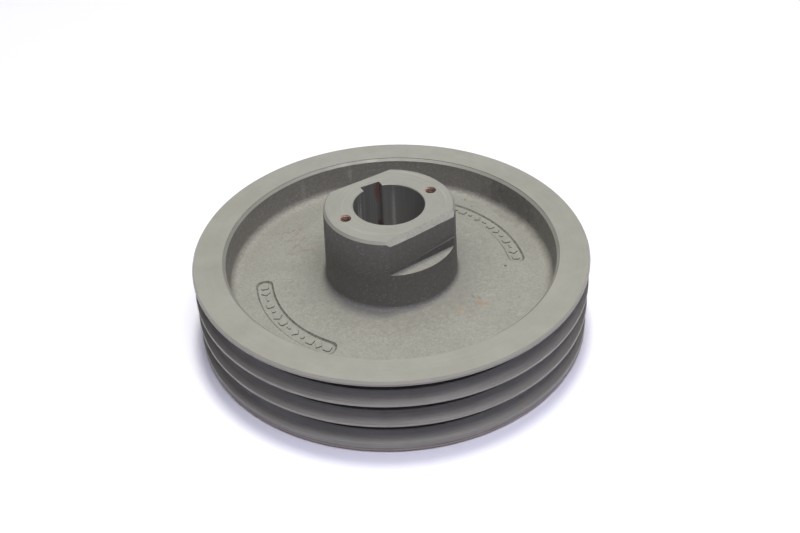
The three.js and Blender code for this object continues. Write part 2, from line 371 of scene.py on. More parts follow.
# Stains, and two patches of painted light and shade. Places are (radius, degrees, height); then come the
# size of each blot, its strength and its colour
STAINS_AND_PAINTED_LIGHT = (
    ((79.6, -62.2, 44), (3.6, 4.6, 8), 0.50, (0.34, 0.17, 0.085)),
    ((84.5, -60.6, 44), (2.4, 2.8, 8), 0.40, (0.34, 0.18, 0.095)),
    ((71.8, -59.6, 45), (1.6, 3.4, 8), 0.50, (0.12, 0.085, 0.065)),
    ((76.5, -58.6, 45), (1.5, 3.2, 8), 0.45, (0.15, 0.095, 0.07)),
    ((72.5, -74.5, 45), (5.0, 5.5, 8), 0.28, (0.34, 0.21, 0.11)),
    ((109.7, -58.6, 42), (3.0, 2.0, 8), 0.30, (0.40, 0.39, 0.36)),
    # A faint painted pool of light on the web at the right.
    ((118, -25, 41), (14, 14, 8), 0.16, (0.36, 0.36, 0.33)),
    ((126.3, 77.8, 58), (2.6, 2.6, 11), 0.35, (0.50, 0.49, 0.46)),
    ((126.3, 97.7, 54), (3.0, 3.0, 13), 0.30, (0.48, 0.47, 0.44)),
    ((126.3, 14.9, 57), (2.0, 2.6, 3), 0.50, (0.12, 0.11, 0.10)),
    # Painted shade over the rim's wall and the web beside it, at the right and back.
    ((126.3, 10, 54), (14, 50, 40), 0.40, (0.10, 0.097, 0.09)))

# Radius, degrees, size and strength
PITS = ((89.2, -27.3, 1.3, 0.85), (98, -8, 0.9, 0.35), (111.0, 24.0, 1.5, 0.3), (117.0, 29.0, 1.7, 0.35),
        (64, 238, 0.8, 0.3), (88, 262, 0.8, 0.25), (83, 322, 1.0, 0.3), (103, 311, 0.9, 0.25))

CRAYON_ZIGZAG = ((-52, 92), (-36, 88), (-54, 78), (-40, 75), (-61, 62), (-41, 56))
CRAYON_WIDTH = 1.7


def crayon_scrawl(g):
    """A loose zigzag of wax crayon that catches only the high spots of the rough skin."""
    flat_place = g.vector("MULTIPLY", g.place, (1, 1, 0))
    shift = g.math("MULTIPLY", g.math("SUBTRACT", g.noise(9, 2), 0.5), 6.0)
    diagonal = g.add("ShaderNodeCombineXYZ", {"X": shift, "Y": shift}).outputs[0]
    wobbled = g.vector("ADD", flat_place, diagonal)
    nearest = None
    for start, end in zip(CRAYON_ZIGZAG, CRAYON_ZIGZAG[1:]):
        along = Vector((*end, 0)) - Vector((*start, 0))
        offset = g.vector("SUBTRACT", wobbled, (*start, 0))
        share = g.vector("DOT_PRODUCT", offset, along / along.length_squared)
        share = g.math("ADD", share, 0.0, clamp=True)
        foot = g.vector("SCALE", tuple(along), Scale=share)
        gap = g.vector("LENGTH", g.vector("SUBTRACT", offset, foot))
        nearest = gap if nearest is None else g.math("MINIMUM", nearest, gap)
    line = g.spread(nearest, CRAYON_WIDTH, CRAYON_WIDTH / 3)
    on_web = g.math("LESS_THAN", g.math("ABSOLUTE", g.math("SUBTRACT", g.z, WEB_TOP_AT_RIM)), 6.0)
    high_spots = g.spread(g.noise(2.4, 4, 0.7), 0.40, 0.58)
    return g.math("MULTIPLY", g.math("MULTIPLY", line, on_web), high_spots)


def grime_and_shade_skin():
    """The steep little walls of the pockets and marks, dark with dirt and painted shade."""
    g = Graph("grime_and_shade_skin", 0.05, 0.8, 0.3)
    color = g.mix(g.spread(g.noise(2.0, 3), 0.3, 0.65), (0.10, 0.097, 0.09), (0.19, 0.186, 0.17))
    return g.finish(color, 0.8, g.bump(g.noise(1.0, 3), 0.1, 0.5))


def groove_iron():
    """The grooves and lands: near black at the bottom of a groove from dirt and painted shade, painted
    lighter and bluish further in as painted light, rusty at the foot, where the chamfer is brightened as
    painted light.
    """
    g = Graph("groove_iron", 0.25, 0.5)
    lines = g.noise(0.9, 2, 0.6, (0.02, 1, 1), g.around())
    radius = g.radius()
    # Deeper in the groove the colour is painted lighter and bluish, as painted fill light.
    inner = g.mix(g.spread(lines, 0.3, 0.7), (0.40, 0.395, 0.405), (0.48, 0.475, 0.485))
    outer = g.mix(g.spread(lines, 0.3, 0.7), (0.282, 0.27, 0.25), (0.338, 0.325, 0.30))
    color = g.mix(g.spread(radius, RIM_RADIUS - 8, RIM_RADIUS - 2), inner, outer)
    # Near black at the groove's bottom: dirt and painted shade.
    bottom = g.spread(radius, RIM_RADIUS - 9.9, RIM_RADIUS - 11.2)
    color = g.mix(bottom, color, (0.06, 0.055, 0.055))
    blotch = g.spread(g.noise(18, 4, 0.6), 0.45, 0.75, 0.0, 0.2)
    color = g.mix(blotch, color, (0.28, 0.26, 0.235))
    top_land = g.spread(g.z, FACE_WIDTH - TOP_LAND - 0.5, FACE_WIDTH - TOP_LAND + 0.5)
    color = g.mix(g.math("MULTIPLY", top_land, 0.8), color, (0.29, 0.275, 0.27))
    top_edge = g.spread(g.z, FACE_WIDTH - RIM_EDGE_AXIAL - 0.1, FACE_WIDTH - RIM_EDGE_AXIAL + 0.3)
    color = g.mix(g.math("MULTIPLY", top_edge, 0.85), color, (0.41, 0.395, 0.36))
    low = g.spread(g.z, 3.4, 2.4)
    rusty = g.math("MULTIPLY", low, g.spread(g.noise(9, 4, 0.65), 0.2, 0.5, 0.6, 1.0))
    color = g.mix(g.math("MULTIPLY", rusty, 0.9), color, (0.46, 0.38, 0.305))
    # The lower chamfer is rust-coloured and painted light, standing in for light from the floor.
    chamfer = g.spread(g.z, RIM_EDGE_AXIAL + 0.1, RIM_EDGE_AXIAL - 0.2)
    color = g.mix(g.math("MULTIPLY", chamfer, 0.7), color, (0.62, 0.50, 0.42))
    score = g.spread(g.math("ABSOLUTE", g.math("SUBTRACT", g.z, RIM_SCORE)), 0.75, 0.3)
    score = g.math("MULTIPLY", score, g.spread(blotch, 0, 0.2, 0.55, 0.3))
    color = g.mix(score, color, (0.10, 0.075, 0.07))
    return g.finish(color, g.spread(g.noise(10, 3), 0.3, 0.7, 0.42, 0.58), g.bump(lines, 0.04, 0.35))


# Lines of wear painted bright as reflections: degrees, width and strength
WORN_GLINT_LINES = ((55, 2.3, 0.5), (117, 1.6, 0.95), (123, 1.3, 0.9), (108, 1.0, 0.3))


def bore_iron():
    """The bore and keyway, with streaks along the axis, lines of wear painted bright as reflections, and
    rust in the keyway's corner.
    """
    g = Graph("bore_iron", 0.3, 0.42)
    around = g.around()
    streak = g.noise(3.0, 3, 0.6, (1, 1, 0.03), around)
    color = g.mix(g.spread(streak, 0.35, 0.7), (0.295, 0.29, 0.275), (0.385, 0.38, 0.36))
    # Painted reflections along lines of wear.
    for degrees, width, strength in WORN_GLINT_LINES:
        worn_glint = g.patch(polar(BORE_RADIUS, degrees, HUB_TOP - 27), (width, width, 36), 0.22, 0.85)
        color = g.mix(g.math("MULTIPLY", worn_glint, strength), color, (0.80, 0.79, 0.77))
    honing = g.noise(0.8, 2, 0.5, (0.03, 1, 1), around)
    corner = (KEYWAY_HALF_WIDTH - 2, KEYWAY_FLOOR - 1, HUB_TOP - 8)
    rust = g.math("MULTIPLY", g.patch(corner, (3.0, 4.5, 12), 0.5, 0.6), 0.8)
    color = g.mix(rust, color, RUST)
    lower = (KEYWAY_HALF_WIDTH - 1, KEYWAY_FLOOR - 1, HUB_TOP - 42)
    color = g.mix(g.math("MULTIPLY", g.patch(lower, (3.0, 4.5, 9), 0.5, 0.6), 0.8), color, DARK_RUST)
    return g.finish(color, g.spread(streak, 0.3, 0.7, 0.34, 0.5), g.bump(honing, 0.03, 0.3))


def milled_iron():
    """The flats and their ledges; the flats have darkened since they were cut."""
    g = Graph("milled_iron", 0.2, 0.6)
    strokes = g.noise(1.3, 2, 0.6, (1, 0.08, 1))
    color = g.mix(g.spread(strokes, 0.3, 0.7), (0.245, 0.242, 0.224), (0.285, 0.28, 0.258))
    above_ledge = g.spread(g.z, FLAT_LEDGE + 0.2, FLAT_LEDGE + 1.0)
    color = g.mix(g.math("MULTIPLY", above_ledge, 0.8), color, (0.185, 0.175, 0.168))
    # Painted shade on the strip below the second pass's step.
    color = g.mix(g.math("MULTIPLY", shade_below_second_pass(g), above_ledge), color, (0.105, 0.10, 0.097))
    grain = g.noise(1.6, 4, 0.72)
    color = g.mix(g.spread(grain, 0.46, 0.30, 0.0, 0.45), color, (0.42, 0.41, 0.38))
    color = g.mix(g.spread(grain, 0.52, 0.68, 0.0, 0.5), color, (0.15, 0.145, 0.14))
    return g.finish(color, 0.6, g.bump(grain, 0.25, 0.7))


def shade_below_second_pass(g):
    """0.6 of painted shade on the front flat's strip that the second pass missed, fading where that pass
    runs out.
    """
    along = polar(1, FRONT_FLAT_DEGREES + 90, 0)
    outwards = polar(1, FRONT_FLAT_DEGREES, 0)
    sideways = g.vector("DOT_PRODUCT", g.place, along)
    out = g.vector("DOT_PRODUCT", g.place, outwards)
    height = g.math("SUBTRACT", g.z, g.math("MULTIPLY", sideways, SECOND_PASS_SLOPE))
    below = g.spread(height, SECOND_PASS_FOOT + 0.1, SECOND_PASS_FOOT - 0.3)
    reached = g.spread(sideways, -18, 0)
    front = g.math("GREATER_THAN", out, 0.0)
    return g.math("MULTIPLY", g.math("MULTIPLY", below, reached), g.math("MULTIPLY", front, 0.6))


def ground_iron():
    """The bevel on the front flat, brighter than the rest, with fine slanting grinder marks."""
    g = Graph("ground_iron", 0.25, 0.55)
    place = g.vector("SUBTRACT", g.place, (0, 0, HUB_TOP))
    slanted = g.add("ShaderNodeMapping", {"Vector": place, "Rotation": (0.5, 0.75, 0.9)}).outputs[0]
    marks = g.noise(0.8, 3, 0.65, (1, 0.3, 0.3), slanted)
    color = g.mix(g.spread(marks, 0.3, 0.7), (0.36, 0.35, 0.325), (0.41, 0.40, 0.37))
    grain = g.noise(1.5, 4, 0.72)
    color = g.mix(g.spread(grain, 0.52, 0.68, 0.0, 0.7), color, (0.225, 0.22, 0.204))
    color = g.mix(g.spread(grain, 0.46, 0.32, 0.0, 0.6), color, (0.44, 0.435, 0.40))
    return g.finish(color, 0.55, g.bump(marks, 0.06, 0.4))


def rust_and_light_thread():
    """The two tapped holes in the hub's end: rust whose lighter patches are painted bright, as painted
    light inside the holes.
    """
    g = Graph("rust_and_light_thread", 0.1, 0.75)
    patchy = g.noise(3.2, 4, 0.65)
    # The lighter rust is painted bright, standing in for light inside the holes.
    color = g.mix(g.spread(patchy, 0.36, 0.6), (0.26, 0.20, 0.18), (0.62, 0.38, 0.30))
    return g.finish(color, 0.75, g.bump(g.noise(0.7, 3), 0.1, 0.6))


def tapped_iron():
    """The holes that the set screws sit in."""
    g = Graph("tapped_iron", 0.35, 0.5)
    color = g.mix(g.spread(g.noise(4, 3), 0.35, 0.65), (0.10, 0.09, 0.08), (0.20, 0.19, 0.175))
    return g.finish(color, 0.5, g.bump(g.noise(0.9, 3), 0.06, 0.4))


def blackened_steel():
    """Black oxide that has rubbed off in places, with faint brown in the hollows."""
    g = Graph("blackened_steel", 0.85, 0.42)
    worn = g.spread(g.noise(2.2, 4, 0.65), 0.55, 0.75)
    color = g.mix(worn, (0.035, 0.034, 0.034), (0.16, 0.155, 0.15))
    brown = g.spread(g.noise(4.5, 3), 0.55, 0.75, 0.0, 0.5)
    color = g.mix(brown, color, (0.09, 0.05, 0.03))
    rough = g.spread(g.noise(1.5, 3), 0.3, 0.7, 0.34, 0.55)
    return g.finish(color, rough, g.bump(g.noise(0.6, 3), 0.03, 0.4))


FINISHES = [machined_iron(), cast_skin(), groove_iron(), bore_iron()]
MACHINED, CAST, GROOVE, BORE = range(len(FINISHES))
GRIME_AND_SHADE_SKIN = grime_and_shade_skin()
MILLED_IRON = milled_iron()
GROUND_IRON = ground_iron()
RUST_AND_LIGHT_THREAD = rust_and_light_thread()
TAPPED_IRON = tapped_iron()
BLACKENED_STEEL = blackened_steel()


# ---------------------------------------------------------------- shapes

def make_object(name, points, faces, materials, material_of_face=None):
    """A mesh object from points in millimetres."""
    mesh = bpy.data.meshes.new(name)
    mesh.from_pydata([Vector(p) * MM for p in points], [], faces)
    for material in materials:
        mesh.materials.append(material)
    if material_of_face is not None:
        mesh.polygons.foreach_set("material_index", material_of_face)
    piece = bpy.data.objects.new(name, mesh)
    bpy.context.scene.collection.objects.link(piece)
    return face_outwards(piece)


def face_outwards(piece):
    work = bmesh.new()
    work.from_mesh(piece.data)
    bmesh.ops.recalc_face_normals(work, faces=work.faces)
    work.to_mesh(piece.data)
    work.free()
    return piece


class Outline:
    """The closed outline of a turned piece, with the finish of the stretch that ends at each point."""

    def __init__(self):
        self.points = []
        self.finishes = []

    def to(self, radius, height, finish, step=None):
        if step is None or not self.points:
            self.points.append((radius, height))
            self.finishes.append(finish)
            return
        start = Vector(self.points[-1])
        end = Vector((radius, height))
        count = max(1, round((end - start).length / step))
        for i in range(1, count + 1):
            self.points.append(tuple(start.lerp(end, i / count)))
            self.finishes.append(finish)

    def arc(self, radius, height, size, start, end, finish):
        """A quarter-round of that size about (radius, height), from one angle to another in degrees."""
        for i in range(FILLET_STEPS + 1):
            angle = math.radians(start + (end - start) * i / FILLET_STEPS)
            self.to(radius + size * math.cos(angle), height + size * math.sin(angle), finish, CAST_STEP)


def rim_outside(outline):
    half = GROOVE_TOP_WIDTH / 2
    bottom_half = half - GROOVE_DEPTH * math.tan(GROOVE_ANGLE / 2)
    top_middle = FACE_WIDTH - TOP_LAND - half
    outline.to(RIM_RADIUS - RIM_BOTTOM_EDGE_RADIAL, 0, MACHINED)
    outline.to(RIM_RADIUS, RIM_EDGE_AXIAL, GROOVE)
    for i in reversed(range(GROOVE_COUNT)):
        middle = top_middle - i * GROOVE_SPACING
        outline.to(RIM_RADIUS, middle - half - RIB_EDGE, GROOVE)
        outline.to(RIM_RADIUS - RIB_EDGE, middle - half + RIB_EDGE / 3, GROOVE)
        outline.to(RIM_RADIUS - GROOVE_DEPTH, middle - bottom_half, GROOVE)
        outline.to(RIM_RADIUS - GROOVE_DEPTH, middle + bottom_half, GROOVE)
        outline.to(RIM_RADIUS - RIB_EDGE, middle + half - RIB_EDGE / 3, GROOVE)
        outline.to(RIM_RADIUS, middle + half + RIB_EDGE, GROOVE)
    outline.to(RIM_RADIUS, FACE_WIDTH - RIM_EDGE_AXIAL, GROOVE)
    outline.to(RIM_RADIUS - RIM_TOP_EDGE_RADIAL, FACE_WIDTH, GROOVE)


def upper_side(outline):
    wall_top = RECESS_MOUTH_RADIUS - RECESS_BEVEL
    wall_foot = wall_top - (FACE_WIDTH - WEB_TOP_AT_RIM) * math.tan(WALL_DRAFT)
    hub_foot = HUB_RADIUS + (HUB_TOP - WEB_TOP_AT_HUB) * math.tan(HUB_DRAFT)
    outline.to(RECESS_MOUTH_RADIUS, FACE_WIDTH, MACHINED)
    outline.to(RECESS_MOUTH_RADIUS - MOUTH_STEP[0], FACE_WIDTH - MOUTH_STEP[1], CAST)
    outline.to(wall_top, FACE_WIDTH - RECESS_BEVEL, MACHINED)
    outline.arc(wall_foot - RIM_FILLET, WEB_TOP_AT_RIM + RIM_FILLET, RIM_FILLET, 0, -90, CAST)
    outline.arc(hub_foot + HUB_FILLET, WEB_TOP_AT_HUB + HUB_FILLET, HUB_FILLET, -90, -180, CAST)
    outline.to(HUB_RADIUS, HUB_TOP - HUB_EDGE_AXIAL, CAST, CAST_STEP)
    outline.to(HUB_RADIUS - HUB_EDGE_RADIAL, HUB_TOP, MACHINED)


def bore_side(outline):
    outline.to(BORE_RADIUS + BORE_CHAMFER, HUB_TOP, MACHINED)
    outline.to(BORE_RADIUS, HUB_TOP - BORE_CHAMFER, BORE)
    outline.to(BORE_RADIUS, BORE_CHAMFER, BORE)
    outline.to(BORE_RADIUS + BORE_CHAMFER, 0, BORE)


def lower_side(outline):
    hub_foot = HUB_RADIUS + WEB_BOTTOM_AT_HUB * math.tan(HUB_DRAFT)
    wall_top = RECESS_MOUTH_RADIUS - RECESS_BEVEL
    wall_foot = wall_top - WEB_BOTTOM_AT_RIM * math.tan(WALL_DRAFT)
    outline.to(HUB_RADIUS - RECESS_BEVEL, 0, MACHINED)
    outline.to(HUB_RADIUS, RECESS_BEVEL, MACHINED)
    outline.arc(hub_foot + HUB_FILLET, WEB_BOTTOM_AT_HUB - HUB_FILLET, HUB_FILLET, 180, 90, CAST)
    outline.arc(wall_foot - RIM_FILLET, WEB_BOTTOM_AT_RIM - RIM_FILLET, RIM_FILLET, 90, 0, CAST)
    outline.to(wall_top, RECESS_BEVEL, CAST, CAST_STEP)
    outline.to(RECESS_MOUTH_RADIUS, 0, MACHINED)


def casting_blank():
    """The turned casting before anything is cut into it, with its cast surfaces made uneven."""
    outline = Outline()
    for side in (rim_outside, upper_side, bore_side, lower_side):
        side(outline)
    count = len(outline.points)
    points = []
    faces = []
    finishes = []
    for turn in range(ROUND_STEPS):
        angle = 2 * math.pi * turn / ROUND_STEPS
        near = turn * count
        far = (turn + 1) % ROUND_STEPS * count
        for i, (radius, height) in enumerate(outline.points):
            points.append((radius * math.cos(angle), radius * math.sin(angle), height))
            j = (i + 1) % count
            faces.append((near + i, far + i, far + j, near + j))
            finishes.append(outline.finishes[j])
    blank = make_object("pulley_casting_skin", points, faces, FINISHES, finishes)
    roughen(blank, outline)
    return blank


def roughen(blank, outline):
    """Moves the points between two cast stretches in or out by a fraction of a millimetre."""
    count = len(outline.points)
    normals = [vertex.normal.copy() for vertex in blank.data.vertices]
    for vertex, normal in zip(blank.data.vertices, normals):
        i = vertex.index % count
        if outline.finishes[i] == CAST and outline.finishes[(i + 1) % count] == CAST:
            place = vertex.co / MM
            shift = sum(size * noise.noise(place * fineness) for size, fineness in CAST_ROUGHNESS)
            vertex.co += normal * shift * MM


def block(name, outline, length, turn_degrees, material_of_side, steps=1, shake=None):
    """An outline of (outwards, up) points drawn out along the tangent, centred at that angle.

    material_of_side lists a material for each side of the outline, from one point to the next."""
    count = len(outline)
    points = []
    faces = []
    sides = []
    for step in range(steps + 1):
        along = length * (step / steps - 0.5)
        points += [(out, along, up) for out, up in outline]
        if step:
            for i in range(count):
                j = (i + 1) % count
                low = (step - 1) * count
                faces.append((low + i, low + j, low + count + j, low + count + i))
                sides.append(material_of_side[i])
    faces += [tuple(range(count)), tuple(steps * count + i for i in range(count))]
    sides += [material_of_side[0]] * 2
    if shake:
        points = [shake(Vector(point)) for point in points]
    turn = Matrix.Rotation(math.radians(turn_degrees), 3, "Z")
    palette = list(dict.fromkeys(material_of_side))
    indices = [palette.index(material) for material in sides]
    return make_object(name, [turn @ Vector(point) for point in points], faces, palette, indices)


def flat_cutter(turn_degrees, bevel, bevel_material, shake=None):
    """Everything outside a flat, above its ledge, with the bevel along the flat's top edge."""
    run, drop = bevel
    outline = [(FLAT_DISTANCE, FLAT_LEDGE), (CUTTER_REACH, FLAT_LEDGE), (CUTTER_REACH, HUB_TOP + drop)]
    for i in range(BEVEL_STEPS + 1):
        share = 2 * i / BEVEL_STEPS - 1
        outline.append((FLAT_DISTANCE - run + share * run, HUB_TOP - share * drop))
    materials = [MILLED_IRON] * 3 + [bevel_material] * BEVEL_STEPS + [MILLED_IRON]
    return block("flat", outline, 2 * HUB_RADIUS, turn_degrees, materials, FLAT_STEPS, shake)


def grinder_shake(point):
    """Unevenness of a hand-ground bevel: a slight skew, slow waves, and small nicks along its length."""
    if point.z < HUB_TOP - FRONT_BEVEL[1] - 0.1 or point.x > FLAT_DISTANCE + 0.1:
        return point
    wave = sum(size * noise.noise(point / length) for size, length in BEVEL_WAVES)
    return point + Vector((wave, 0, wave - BEVEL_SKEW * point.y))


def second_pass_cutter():
    """A second cut across the front flat, turned slightly so that it runs out to one side."""
    inner = FLAT_DISTANCE - SECOND_PASS_DEPTH
    low = SECOND_PASS_FOOT
    high = HUB_TOP + 9
    outline = [(inner, low), (CUTTER_REACH, low), (CUTTER_REACH, high), (inner, high)]
    turn = FRONT_FLAT_DEGREES + SECOND_PASS_TURN

    def slope(point):
        return point + Vector((0, 0, SECOND_PASS_SLOPE * point.y))

    return block("second_pass", outline, 2 * HUB_RADIUS, turn, [MILLED_IRON] * 4, shake=slope)


def keyway_cutter():
    """A bar through the hub, divided along its length so that the key screw's hole stays open."""
    half = KEYWAY_HALF_WIDTH
    ring = [(-half, 0), (half, 0), (half, KEYWAY_FLOOR), (0, KEYWAY_FLOOR), (-half, KEYWAY_FLOOR)]
    count = len(ring)
    low = -5
    high = HUB_TOP + 5
    step = (high - low) / KEYWAY_STEPS
    points = [(x, y, low + step * i) for i in range(KEYWAY_STEPS + 1) for x, y in ring]
    last = KEYWAY_STEPS * count
    faces = [tuple(range(count)), tuple(range(last, last + count))]
    for start in range(0, last, count):
        for i in range(count):
            j = (i + 1) % count
            faces.append((start + i, start + j, start + count + j, start + count + i))
    return make_object("keyway", points, faces, [FINISHES[BORE]])


def threaded_rod(name, crest, root, pitch, low, high, material, steps=48, rings_per_turn=8):
    """A rod along Z with a helical thread between two radii, closed at both ends."""
    rings = round((high - low) / pitch * rings_per_turn)
    points = []
    faces = []
    for ring in range(rings + 1):
        height = low + (high - low) * ring / rings
        for step in range(steps):
            angle = 2 * math.pi * step / steps
            phase = (height / pitch - step / steps) % 1.0
            radius = root + (crest - root) * thread_height(phase)
            points.append((radius * math.cos(angle), radius * math.sin(angle), height))
            if ring:
                i = (ring - 1) * steps + step
                j = (ring - 1) * steps + (step + 1) % steps
                faces.append((i, j, j + steps, i + steps))
    faces += [tuple(range(steps)), tuple(rings * steps + step for step in range(steps))]
    return make_object(name, points, faces, [material])


def thread_height(phase):
    """0 at the root and 1 at the crest, with both slightly flattened, over one turn of thread."""
    return min(1.0, max(0.0, 1.25 * (1 - abs(2 * phase - 1)) - 0.125))


def move_points(piece, matrix):
    """Moves a piece's points, given in metres, and leaves its object at the origin."""
    piece.data.transform(matrix)
    return piece


def puller_cutter(side):
    """A tapped hole."""
    crest = PULLER_HOLE_RADIUS + PULLER_THREAD_DEPTH
    low = HUB_TOP - PULLER_HOLE_DEPTH
    rod = threaded_rod("puller_hole", crest, PULLER_HOLE_RADIUS, PULLER_THREAD_PITCH,
                       low, HUB_TOP + 4, RUST_AND_LIGHT_THREAD, steps=40)
    return move_points(rod, Matrix.Translation((side * PULLER_CIRCLE_RADIUS * MM, 0, 0)))


def screw_hole_cutter(turn_degrees):
    root = SCREW_RADIUS + SCREW_HOLE_GAP
    rod = threaded_rod("screw_hole", root + SCREW_HOLE_THREAD_DEPTH, root, SCREW_THREAD_PITCH,
                       BORE_RADIUS / 2, HOLE_CUTTER_REACH, TAPPED_IRON)
    return move_points(rod, along_radius(turn_degrees))


def along_radius(turn_degrees):
    """Turns the Z axis outwards along a radius at the set screws' height."""
    turn = Matrix.Rotation(math.radians(turn_degrees), 4, "Z")
    tip = Matrix.Rotation(math.pi / 2, 4, "Y")
    return Matrix.Translation((0, 0, SCREW_HEIGHT * MM)) @ turn @ tip


def web_top(radius):
    share = (radius - WEB_INNER_RADIUS) / (WEB_OUTER_RADIUS - WEB_INNER_RADIUS)
    return WEB_TOP_AT_HUB + (WEB_TOP_AT_RIM - WEB_TOP_AT_HUB) * share


def pocket_outline(shrink):
    """The pocket's outline as (radius, degrees) points, drawn in by that many millimetres."""
    inner = POCKET_INNER_RADIUS + shrink
    outer = POCKET_OUTER_RADIUS - shrink
    middle = (inner + outer) / 2
    end = POCKET_HALF_ANGLE - math.degrees(shrink / middle)
    size = POCKET_CORNER
    corner_end = end - math.degrees(size / middle)
    points = []
    corners = ((outer - size, 1), (inner + size, 1), (inner + size, -1), (outer - size, -1))
    for quarter, (radius, side) in enumerate(corners):
        for i in range(POCKET_CORNER_STEPS + 1):
            angle = math.radians(90 * quarter + 90 * i / POCKET_CORNER_STEPS)
            out = radius + size * math.cos(angle)
            points.append((out, side * corner_end + math.degrees(size * math.sin(angle) / middle)))
    return points


def divide_arcs(outline):
    """Divides the two long arcs of a (radius, degrees) outline, so that they follow their circles."""
    full = []
    for start, end in zip(outline, outline[1:] + outline[:1]):
        count = POCKET_ARC_STEPS if abs(end[1] - start[1]) > POCKET_HALF_ANGLE else 1
        full += [tuple(Vector(start).lerp(Vector(end), i / count)) for i in range(count)]
    return full


def pocket_cutter(centre_degrees):
    """An arc-shaped pocket whose floor follows the web's cone, with drafted walls and a rounded foot."""
    points = []
    for shrink, rise in POCKET_LEVELS:
        ring = divide_arcs(pocket_outline(shrink))
        count = len(ring)
        for radius, degrees in ring:
            points.append(polar(radius, centre_degrees + degrees, web_top(radius) - POCKET_DEPTH + rise))
    faces = []
    grime_and_shade = []
    top = (len(POCKET_LEVELS) - 1) * count
    for low in range(0, top, count):
        for i in range(count):
            j = (i + 1) % count
            faces.append((low + i, low + j, low + count + j, low + count + i))
            grime_and_shade.append(1)
    for low in (0, top):
        for i in range(count // 2 - 1):
            inner = POCKET_CORNER_STEPS + 1 + i
            outer = POCKET_CORNER_STEPS - i
            faces.append((low + inner, low + outer % count, low + (outer - 1) % count, low + inner + 1))
            grime_and_shade.append(0)
    return make_object("pocket", points, faces, [FINISHES[CAST], GRIME_AND_SHADE_SKIN], grime_and_shade)


def mark_outline(kind):
    """The outline of a mark, as (outwards, sideways) points."""
    half = MARK_SIZE / 2
    if kind == "dash":
        return box_loop(MARK_STROKE / 2, half * 0.7)
    if kind == "block":
        return box_loop(half * 0.5, half * 0.5)
    if kind == "lozenge":
        return [(half * 1.25, 0), (0, half), (-half * 1.25, 0), (0, -half)]
    return box_loop(half, half)


def box_loop(tall, wide):
    """A rectangle with its corners cut off, as eight points."""
    corner = min(tall, wide) / 3
    first = [(tall, wide - corner), (tall - corner, wide)]
    second = [(corner - tall, wide), (-tall, wide - corner)]
    return first + second + [(-out, -sideways) for out, sideways in first + second]


def pocket_marks():
    """Raised squares, lozenges and dashes with sloping sides, in a row along each pocket."""
    points = []
    faces = []
    grime_and_shade = []
    middle = (POCKET_INNER_RADIUS + POCKET_OUTER_RADIUS) / 2
    for centre in POCKET_CENTRES:
        for place_in_row, kind in enumerate(MARK_ROW):
            degrees = centre + (place_in_row - (len(MARK_ROW) - 1) / 2) * MARK_PITCH_DEGREES
            loop = mark_outline(kind)
            count = len(loop)
            low = len(points)
            for rise, share in ((-1.0, 1.0), (MARK_RISE, 1 - MARK_DRAFT)):
                for out, sideways in loop:
                    radius = middle + share * out
                    turn = degrees + math.degrees(share * sideways / middle)
                    points.append(polar(radius, turn, web_top(radius) - POCKET_DEPTH + rise))
            for i in range(count):
                j = (i + 1) % count
                faces.append((low + i, low + j, low + count + j, low + count + i))
            faces += [tuple(range(low, low + count)), tuple(range(low + count, low + 2 * count))]
            grime_and_shade += [1] * count + [0, 0]
    return make_object("pocket_marks", points, faces, [FINISHES[CAST], GRIME_AND_SHADE_SKIN], grime_and_shade)


def cut(casting, cutters, operation="DIFFERENCE"):
    """Cuts each cutter from the casting, or joins it on. New faces keep the cutter's finish."""
    for cutter in cutters:
        step = casting.modifiers.new(cutter.name, "BOOLEAN")
        step.operation = operation
        step.object = cutter
        step.solver = "EXACT"
        step.material_mode = "TRANSFER"
    apply_modifiers(casting)
    for cutter in cutters:
        bpy.data.objects.remove(cutter)


def apply_modifiers(piece):
    graph = bpy.context.evaluated_depsgraph_get()
    mesh = bpy.data.meshes.new_from_object(piece.evaluated_get(graph))
    piece.modifiers.clear()
    piece.data = mesh


def tidy(piece):
    """Removes slivers, splits faces of many sides and shades the piece smooth up to a set angle."""
    work = bmesh.new()
    work.from_mesh(piece.data)
    bmesh.ops.dissolve_degenerate(work, dist=SLIVER * MM, edges=work.edges)
    many_sided = [face for face in work.faces if len(face.verts) > 4]
    bmesh.ops.triangulate(work, faces=many_sided, ngon_method="BEAUTY")
    for face in work.faces:
        face.smooth = True
    work.to_mesh(piece.data)
    work.free()
    piece.data.set_sharp_from_angle(angle=SMOOTH_LIMIT)


def pulley_casting():
    casting = casting_blank()
    cutters = [keyway_cutter()]
    cutters.append(flat_cutter(BACK_FLAT_DEGREES, BACK_BEVEL, MILLED_IRON))
    cutters.append(flat_cutter(FRONT_FLAT_DEGREES, FRONT_BEVEL, GROUND_IRON, grinder_shake))
    cutters += [puller_cutter(side) for side in (-1, 1)]
    cutters += [screw_hole_cutter(turn) for turn in (0, 90)]
    cutters.append(second_pass_cutter())
    cutters += [pocket_cutter(centre) for centre in POCKET_CENTRES]
    cut(casting, cutters)
    cut(casting, [pocket_marks()], "UNION")
    tidy(casting)
    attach(casting, "pulley")
    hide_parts("pulley_casting")


def set_screw(name, node, body, turn_degrees):
    """A threaded set screw with a cup point and a hexagon socket, where its CAD stand-in lies."""
    low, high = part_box(node)
    axis = 0 if turn_degrees == 0 else 1
    tip = low[axis] / MM
    head = high[axis] / MM
    thread = threaded_rod(name, SCREW_RADIUS, SCREW_RADIUS - SCREW_THREAD_DEPTH, SCREW_THREAD_PITCH,
                          tip, head, BLACKENED_STEEL, steps=72, rings_per_turn=12)
    cut(thread, [screw_envelope(tip, head)], "INTERSECT")
    cut(thread, [socket_cutter(head)])
    move_points(thread, along_radius(turn_degrees))
    tidy(thread)
    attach(thread, body)
    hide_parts(node)


